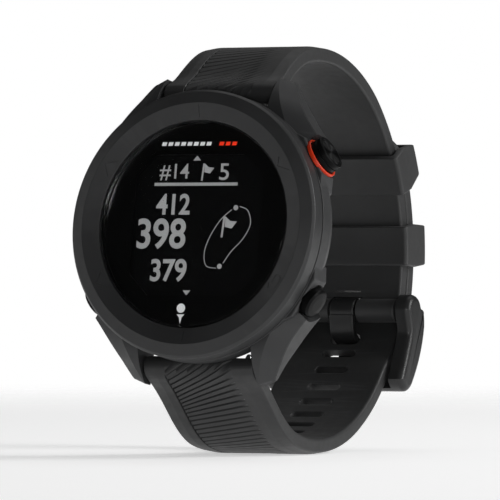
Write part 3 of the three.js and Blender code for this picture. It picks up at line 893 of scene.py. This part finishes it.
HUB_END = LUG_ANGLE + math.degrees(HUB_RADIUS / BAR_RADIUS_ON_LOOP) - 0.02


def overlap(angle):
    """1 where the two straps lie on one another, 0 where only one is there."""
    return 1 - smooth(abs(angle), 50, 62)


def strap_radii(reach, lift=0.0, top=0.02, dip=UPPER_DIP):
    """The radii of the wrist side, the outer edge and the crown of a strap."""
    inner = LOOP_RADIUS - 2 * smooth(abs(reach), *dip) + lift
    edge = inner + mix(EDGE_THICKNESS, LAYER_THICKNESS, overlap(reach))
    crown = inner + mix(STRAP_THICKNESS, LAYER_THICKNESS, overlap(reach)) + top
    hub = smooth(reach, 123, LUG_ANGLE)
    crown = mix(crown, BAR_RADIUS_ON_LOOP + HUB_RADIUS, hub)
    edge = mix(edge, crown - 0.1, hub)
    away = math.radians(reach - LUG_ANGLE) * BAR_RADIUS_ON_LOOP
    if abs(away) < HUB_RADIUS:
        height = math.sqrt(HUB_RADIUS ** 2 - away ** 2)
        inner = min(inner, BAR_RADIUS_ON_LOOP - height) if away < 0 else BAR_RADIUS_ON_LOOP - height
        if away > 0:
            crown = BAR_RADIUS_ON_LOOP + height
            edge = crown - 0.1 * height / HUB_RADIUS
    return inner, edge, crown


def upper_radii(reach):
    """The upper strap, which ends in a tube round the buckle's pin."""
    inner, edge, crown = strap_radii(reach)
    away = math.radians(reach - PIN_ANGLE) * PIN_RADIUS_ON_LOOP
    if abs(away) < TUBE_RADIUS:
        height = math.sqrt(TUBE_RADIUS ** 2 - away ** 2)
        inner = min(inner, PIN_RADIUS_ON_LOOP - height)
        if away < 0:
            inner = PIN_RADIUS_ON_LOOP - height
            crown = PIN_RADIUS_ON_LOOP + height
            edge = crown - 0.02
    return inner, edge, crown


def lower_radii(reach):
    """The lower strap, which climbs over the tube and thins out at its tip."""
    lift = LAYER_LIFT * smooth(-reach, -33, PIN_ANGLE)
    inner, edge, crown = strap_radii(reach, lift, 0.02 + 0.2 * overlap(reach), LOWER_DIP)
    from_tip = math.radians(TAIL_TIP + reach) * (LOOP_RADIUS + LAYER_LIFT)
    if from_tip < 1:
        middle = (inner + crown) / 2
        share = math.sqrt(max(1 - (1 - from_tip) ** 2, 0.001))
        inner, edge, crown = (mix(middle, radius, share) for radius in (inner, edge, crown))
    return inner, edge, crown


def strap_width(reach):
    """Half a strap's width, which narrows over the first degrees away from its lug."""
    return STRAP_HALF - STRAP_WAIST * (1 - smooth(abs(reach), 116, 131))


def tail_width(reach):
    """Half the lower strap's width, which rounds off towards its tip."""
    from_tip = min(max((TAIL_TIP + reach) / TAIL_ROUND, 0), 1)
    return strap_width(reach) - 5 * (1 - math.sqrt(1 - (1 - from_tip) ** 2))


def rib_height(reach, x, fade_from):
    """How far the ribbed surface lies below the strap's crown: tilted tops with grooves between."""
    phase = ((LUG_ANGLE - reach) / RIB_PITCH) % 1
    foot, top_start, top_end, drop = RIB_PARTS
    if phase < top_start:
        tooth = 0.8 * phase / top_start
    elif phase < top_end + 1e-6:
        tooth = 0.8 + 0.2 * (phase - top_start) / (top_end - top_start)
    else:
        tooth = max(1 - (phase - top_end) / (drop - top_end), 0)
    along = smooth(reach, RIBS_END - 3, RIBS_END + 2) * (1 - smooth(reach, HUB_END + 1, HUB_END + 4))
    across = 1 - smooth(x, fade_from, RIB_HALF)
    if x < -RIB_HALF - 0.01:
        return -RIB_DEPTH * along * (1.15 if x > -RIB_HALF - 0.2 else 0)
    return -RIB_DEPTH * (1 - tooth) * along * across


RIB_COLUMNS = (RIB_HALF + 0.15, RIB_HALF, 4.5, 3, 1.5, 0, -2, -4,
               -RIB_HALF, -RIB_HALF - 0.12, -RIB_HALF - 0.3)
FIRST_RIB_POINT = 20  # where RIB_COLUMNS starts in strap_section's outline


def strap_section(radii, half):
    """The strap's outline across the loop, as (x, radius) points."""
    inner, edge, crown = radii
    flat = min(FLAT_HALF, half - 0.4)
    columns = [(x * flat / FLAT_HALF, crown, 0) for x in RIB_COLUMNS]
    return fillet([
        (-half, inner, 0.55), (half, inner, 0.55), (half, edge, 0.35), (flat, crown, 1.5),
        *columns, (-flat, crown, 1.5), (-half, edge, 0.35),
    ])


def strap_skin(name, side, rows, radii, width, fade_from):
    """A strap from its rows. Rows lean with the ribs, so that each rib's edge is one row."""
    rings = []
    for reach in rows:
        slope = 13 + 19 * smooth(reach, 112, 131)
        lean = math.tan(math.radians(slope)) * smooth(reach, RIBS_END - 12, RIBS_END - 2) / (LOOP_RADIUS + 3)
        ring = []
        for index, point in enumerate(strap_section(radii(min(reach, HUB_END)), width(reach))):
            across = min(max(point.x, -LEAN_HALF), LEAN_HALF)
            leaned = min(reach - side * math.degrees(across * lean), HUB_END)
            place = strap_section(radii(leaned), width(leaned))[index]
            is_rib = 0 <= index - FIRST_RIB_POINT < len(RIB_COLUMNS)
            lift = rib_height(reach, place.x, fade_from) if is_rib else 0
            lift *= 1 - smooth(leaned, HUB_END - 1.2, HUB_END)
            ring.append(on_loop(place.x, place.y + lift, side * leaned))
        rings.append(ring)
    return skin(name, rings)


def rib_rows():
    """Rows at each rib's foot, crest and drop, and fine ones where the strap curls round its bar."""
    rows = []
    ribs = int((LUG_ANGLE - RIBS_END) / RIB_PITCH)
    for rib in range(-5, ribs + 1):
        rows += [LUG_ANGLE - (rib + part) * RIB_PITCH for part in RIB_PARTS]
    start = HUB_END + 7
    curl = 1.5
    fine = 0.31
    rows += [start - fine * step for step in range(int((start - LUG_ANGLE + curl) / fine))]
    return sorted((row for row in rows if row < start), reverse=True)


def even_rows(start, end, step=1.5):
    count = max(int(abs(start - end) / step), 1)
    return [mix(start, end, index / count) for index in range(count)]


def slot_cutter(angle, radii, half_length, half_width):
    """A round-ended slot through the strap whose rims are rounded on both sides."""
    inner, edge, crown = radii(-angle)
    rim = 0.3
    quarter = [math.radians(turn) for turn in (0, 22, 45, 67, 90)]
    levels = [(inner - 1, rim)]
    levels += [(inner + rim * (1 - math.cos(a)), rim * (1 - math.sin(a))) for a in quarter]
    levels += [(crown - rim * (1 - math.cos(a)), rim * (1 - math.sin(a))) for a in quarter[::-1]]
    levels += [(crown + 1, rim)]
    rings = []
    for radius, grow in levels:
        ring = []
        for end, half_turn in ((1, 0), (-1, 180)):
            for turn in range(-90, 91, 15):
                spot = Vector(((half_length - half_width) * end, 0))
                spot += polar(half_width + grow, turn + half_turn)
                tilt = math.degrees(spot.y / (LOOP_RADIUS + 1.5))
                ring.append(on_loop(spot.x, radius, angle + tilt))
        rings.append(ring)
    return skin("slot", rings)


def bore_for_bar(strap, side):
    """Cuts a strap's bore for the spring bar, and the slot for its lever."""
    bar = (BAR.x, side * BAR.y)
    combine(strap, [rod("bore", BAR_BORE, -11, 11, bar, 0.01, 40)])
    inward = (LOOP - Vector(bar)).normalized()
    across = Vector((-inward.y, inward.x))
    corners = [Vector(bar) + inward * along + across * wide
               for along, wide in ((0.2, -0.95), (4, -0.95), (4, 0.95), (0.2, 0.95))]
    combine(strap, [prism("lever_slot", corners, 4.1, 8.7, 0.01)])


def blend_at_bend(obj):
    """Bakes a strap's place in the frame into its mesh."""
    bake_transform(obj)


def make_upper_strap():
    tube = [PIN_ANGLE + math.degrees(math.sin(math.radians(turn)) * TUBE_RADIUS / PIN_RADIUS_ON_LOOP)
            for turn in range(86, -90, -8)]
    rows = rib_rows()
    rows += even_rows(rows[-1] - 1.2, tube[0] + 0.4, 1.4) + tube
    strap = strap_skin("strap", 1, rows, upper_radii, strap_width, 0.5)
    notch = fillet([(PIN.x - 5, PIN.y - 3.5), (PIN.x + 5, PIN.y - 3.5), (PIN.x + 5, PIN.y + 2.35),
                    (PIN.x - 5, PIN.y + 2.35)], 0.05)
    notch_half = TONGUE_HALF + TONGUE_GAP
    combine(strap, [prism("notch", notch, -notch_half, notch_half, 0.01)])
    slit = [Vector(corner) for corner in ((PIN.x - 5, -2.25), (PIN.x + 5, -2.25), (PIN.x + 5, -1.95),
                                          (PIN.x - 5, -1.95))]
    pin_bore = rod("bore", PIN_BORE, -11, 11, PIN, 0.01, 40)
    combine(strap, [pin_bore, prism("slit", slit, -2.4, 2.4, 0.01)])
    bore_for_bar(strap, 1)
    finish_piece(strap, "strap_upper_skin", silicone, ["strap_upper", "strap_buckle_end"])
    blend_at_bend(strap)


def make_lower_strap():
    tip = [-TAIL_TIP + math.degrees((1 - math.cos(math.radians(turn))) / (LOOP_RADIUS + LAYER_LIFT))
           for turn in range(90, 2, -12)]
    rows = rib_rows()
    round_start = -TAIL_TIP + TAIL_ROUND
    rows += even_rows(rows[-1] - 1.2, round_start) + even_rows(round_start, tip[0], 0.6)
    strap = strap_skin("strap", -1, rows + tip, lower_radii, tail_width, 4.5)
    towards_lug = math.degrees(HOLE_PITCH / (LOOP_RADIUS + 0.5))
    towards_tip = math.degrees(HOLE_PITCH / (LOOP_RADIUS + LAYER_LIFT + 1))
    angles = [TONGUE_HOLE + HOLE_SHIFT_LUG - hole * towards_lug for hole in range(9, 0, -1)]
    angles += [TONGUE_HOLE + HOLE_SHIFT_TIP + hole * towards_tip for hole in range(1, 7)]
    cutters = [slot_cutter(angle, lower_radii, *SLOT_HALF) for angle in angles]
    cutters.append(slot_cutter(TONGUE_HOLE, lower_radii, *TONGUE_SLOT_HALF))
    combine(strap, cutters)
    bore_for_bar(strap, -1)
    finish_piece(strap, "strap_lower_skin", silicone, ["strap_lower", "strap_tail"])
    blend_at_bend(strap)


make_upper_strap()
make_lower_strap()


def keeper_outline(half, low, high, bend, corner):
    """The outside or the inside of a keeper across the loop, as (x, radius) points."""
    return fillet([(-half, low, corner), (half, low, corner), (half, bend, 0), (half, high, corner),
                   (-half, high, corner), (-half, bend, 0)], steps=6)


def make_keeper(name, centre):
    """A loop round both straps, wider on the wrist side than outside."""
    low, bend, top = 29.3, 32.8, 36.9
    outer = keeper_outline(11.3, low, top, bend, 0.9)
    inner = keeper_outline(10.2, low + 1.05, top - 0.95, bend, 0.5)
    rings = []
    for inside, outside in zip(inner, outer):
        thick = (outside - inside).length
        wide = 4.4
        across = (-wide, -wide / 2, 0, wide / 2, wide)
        profile = [(x, 0, 0.25 if abs(x) == wide else 0) for x in across]
        profile += [(x, thick, 0.35 if abs(x) == wide else 0) for x in across[::-1]]
        ring = []
        for point in fillet(profile):
            place = inside.lerp(outside, point.y / thick)
            half = mix(*KEEPER_HALF_ANGLES[name], min(max((place.y - bend) / (top - bend), 0), 1))
            ring.append(on_loop(place.x, place.y, centre + half * point.x / wide))
        rings.append(ring)
    finish_piece(skin("keeper", rings, closed=True), f"keeper_band_{name}", silicone,
                 [f"keeper_{name}"], f"keeper_{name}", 40)


for keeper_name, keeper_angle in KEEPER_ANGLES.items():
    make_keeper(keeper_name, keeper_angle)


# ---- Buckle

def beside_pin(radius, angle):
    return LOOP + polar(radius, angle)


def bow(start, control, end, steps=8):
    """Points of a quadratic curve, without its first."""
    line = []
    for step in range(1, steps + 1):
        t = step / steps
        line.append(start * (1 - t) ** 2 + control * 2 * t * (1 - t) + end * t ** 2)
    return line


def make_buckle_frame():
    """Two arms on the pin, joined by a crossbar that the tongue lies on."""
    outline = [PIN + polar(2.7, angle) for angle in range(20, 191, 10)]
    foot = beside_pin(30.6, -17)
    heel = beside_pin(31.9, -33.2)
    belly = beside_pin(36.2, -29.5)
    shoulder = beside_pin(35.7, -12.5)
    outline += [foot]
    outline += bow(foot, beside_pin(31.2, -25), heel)
    outline += bow(heel, beside_pin(36, -35.2), belly)
    outline += bow(belly, beside_pin(36.9, -20), shoulder)
    outline += bow(shoulder, beside_pin(35.2, -9), beside_pin(33.9, -7.2))[:-1]
    body = prism("frame", outline, -BUCKLE_HALF, BUCKLE_HALF, 1.1, steps=5)
    window = [beside_pin(24, CROSSBAR_ANGLE), beside_pin(44, CROSSBAR_ANGLE), beside_pin(44, 6),
              beside_pin(24, 6)]
    under = [beside_pin(CROSSBAR_INNER, angle) for angle in range(-40, -22, 2)]
    under += [beside_pin(24, -24), beside_pin(24, -40)]
    rest = [beside_pin(CROSSBAR_REST, -40), beside_pin(40, -40), beside_pin(40, -24),
            beside_pin(CROSSBAR_REST, -24)]
    under_half = BUCKLE_INNER - 0.01
    rest_half = TONGUE_HALF + TONGUE_GAP
    combine(body, [prism("window", window, -BUCKLE_INNER, BUCKLE_INNER, 0.01)])
    combine(body, [prism("under", under, -under_half, under_half, 0.01)])
    combine(body, [prism("rest", rest, -rest_half, rest_half, 0.01),
                   rod("bore", PIN_BORE, -12.3, 12.3, PIN, 0.01, 40)])
    bevelled(body, 0.25, 3, 40)
    finish_piece(body, "buckle_loop", buckle_plastic, ["buckle_frame"], "buckle_frame", 40)


def make_buckle_tongue():
    """A hub on the pin, and a blade through the strap's hole that lies on the crossbar."""
    spine = spline([beside_pin(radius, angle) for radius, angle in (
        (29.6, -12.4), (30.9, -16.6), (32.4, -17.8), (34.9, -18.6), (36, -21.4), (36.1, -27), (36, -33))], 5)
    blade = prism("blade", stroke(spine, 1.1), -TONGUE_HALF, TONGUE_HALF, 0.25, steps=4)
    hub = rod("hub", 2.1, -TONGUE_HALF, TONGUE_HALF, PIN, 0.25, 64)
    combine(hub, [blade], "UNION")
    combine(hub, [rod("bore", PIN_BORE, -4, 4, PIN, 0.01, 40)])
    finish_piece(hub, "buckle_prong", buckle_plastic, ["buckle_tongue"], "buckle_tongue", 40)


def make_bar(name, side):
    """A quick-release bar: its tube stays, and its far end slides in with the thumb lever."""
    spot = (BAR.x, side * BAR.y)
    tube = gathered("tube", [rod("bar", BAR_THICK, -9.6, 4.6, spot, 0.15),
                             rod("tip", BAR_TIP, -11.3, -9.61, spot, 0.1)])
    finish_piece(tube, f"spring_tube_{name}", steel, [f"spring_bar_{name}"], "case")
    inward = (LOOP - Vector(spot)).normalized()
    lever = prism("lever", circle(0.55, count=32), 0.4, 3, 0.2, "y")
    turn = Vector((0, 1, 0)).rotation_difference(Vector((0, inward.x, inward.y))).to_matrix().to_4x4()
    moved(lever, Matrix.Translation((7.3, *spot)) @ turn)
    slide = gathered("slide", [rod("pin", BAR_THICK, 6.6, 9.6, spot, 0.15),
                               rod("tip", BAR_TIP, 9.61, 11.3, spot, 0.1), lever])
    finish_piece(slide, f"release_slide_{name}", steel, [f"release_pin_{name}"],
                 f"release_pin_{name}")


make_buckle_frame()
make_buckle_tongue()
finish_piece(rod("pin", 0.85, -12, 12, PIN, 0.2), "buckle_axle", steel, ["buckle_pin"],
             "strap_buckle_end")
make_bar("upper", 1)
make_bar("lower", -1)


# ---- CAD nodes that keep their shape

kept = {
    "lens_gasket": seal_rubber, "back_gasket": seal_rubber, "display_panel": panel_black,
    "display_chassis": chassis_plastic, "main_board": board, "battery_cell": foil, "gps_antenna": gold,
}
for button in BUTTON_ANGLES:
    kept[f"button_seal_{button}"] = seal_rubber
    kept[f"side_switch_{button}"] = steel
for node_name, material in kept.items():
    node = frame["nodes"][node_name]
    node.data.materials.clear()
    node.data.materials.append(material)


# ---- Floor, light and camera, in metres

FLOOR_RADIUS = 0.6
FLOOR_FADE = (0.2, 0.55)  # where the floor starts and ends fading into the surroundings
GROUND_LIGHT = 0.14
SKY_LIGHT = 0.05
LIT_MIDDLE = Vector((0, 0, 0.034))
LAMPS = (  # name, place, size and watts
    ("overhead", (0, 0.3, 0.85), (0.7, 0.7), 1.2),
    ("key", (0.5, -0.82, -0.08), (0.3, 0.4), 4),
    ("side_right", (0.9, 0.05, 0.15), (0.25, 0.4), 2.8),
    ("left", (-0.8, -0.3, 0.2), (0.35, 0.6), 0.6),
    ("back_right", (0.8, 0.3, 0.5), (0.35, 0.35), 4),
)
CAMERA_AZIMUTH = math.radians(26.9)
CAMERA_DISTANCE = 1
CAMERA_LENS = 449.7  # millimetres, on a 36 mm sensor
CAMERA_ASIDE = 9.233 * MM  # how far the camera aims beside the middle of the glass
CAMERA_BELOW = 4.215 * MM


def make_floor():
    """A pale disc that fades into the pale surroundings well away from the watch."""
    bm = bmesh.new()
    bmesh.ops.create_circle(bm, cap_ends=True, radius=FLOOR_RADIUS, segments=96)
    mesh = bpy.data.meshes.new("floor")
    bm.to_mesh(mesh)
    bm.free()
    floor = placed("floor", mesh)
    surface = Surface("floor", 0.8)
    surface.shader.inputs["Base Color"].default_value = (0.9, 0.9, 0.9, 1)
    surface.shader.inputs["Emission Color"].default_value = (1, 1, 1, 1)
    surface.shader.inputs["Emission Strength"].default_value = 0.5
    length = surface.node("VectorMath", operation="LENGTH")
    surface.link(surface.place, length.inputs[0])
    fade = surface.span(length.outputs["Value"], *FLOOR_FADE, 1, 0)
    surface.link(fade, surface.shader.inputs["Alpha"])
    mesh.materials.append(surface.material)


def make_world():
    """White where the camera sees it; as a light, dim below and dimmer above."""
    world = bpy.data.worlds.new("studio")
    world.use_nodes = True
    bpy.context.scene.world = world
    nodes = world.node_tree.nodes
    links = world.node_tree.links
    background = nodes["Background"]
    place = nodes.new("ShaderNodeTexCoord")
    split = nodes.new("ShaderNodeSeparateXYZ")
    ramp = nodes.new("ShaderNodeMapRange")
    for socket, value in zip(ramp.inputs[1:5], (-0.3, 0.3, GROUND_LIGHT, SKY_LIGHT)):
        socket.default_value = value
    path = nodes.new("ShaderNodeLightPath")
    seen = nodes.new("ShaderNodeMath")
    seen.operation = "MAXIMUM"
    links.new(path.outputs["Is Camera Ray"], seen.inputs[0])
    links.new(place.outputs["Generated"], split.inputs[0])
    links.new(split.outputs["Z"], ramp.inputs[0])
    links.new(ramp.outputs[0], seen.inputs[1])
    links.new(seen.outputs[0], background.inputs["Strength"])
    background.inputs["Color"].default_value = (1, 1, 1, 1)


def area_light(name, place, size, power):
    lamp = bpy.data.lights.new(name, "AREA")
    lamp.shape = "RECTANGLE"
    lamp.size, lamp.size_y = size
    lamp.energy = power
    obj = placed(name, lamp)
    obj.visible_camera = False
    obj.location = place
    obj.rotation_euler = (Vector(place) - LIT_MIDDLE).to_track_quat("Z", "Y").to_euler()


def make_camera():
    """A long lens, level with the middle of the watch and to its right."""
    sideways = Vector((math.cos(CAMERA_AZIMUTH), math.sin(CAMERA_AZIMUTH), 0))
    backwards = Vector((math.sin(CAMERA_AZIMUTH), -math.cos(CAMERA_AZIMUTH), 0)) * CAMERA_DISTANCE
    data = bpy.data.cameras.new("camera")
    data.lens = CAMERA_LENS
    data.sensor_width = 36
    data.clip_end = 20
    camera = placed("camera", data)
    camera.location = GLASS + sideways * CAMERA_ASIDE - Vector((0, 0, CAMERA_BELOW)) + backwards
    camera.rotation_euler = (math.radians(90), 0, CAMERA_AZIMUTH)
    bpy.context.scene.camera = camera


make_floor()
make_world()
for lamp_values in LAMPS:
    area_light(*lamp_values)
make_camera()
bpy.context.scene.view_settings.view_transform = "Standard"
bpy.context.scene.view_settings.look = "None"
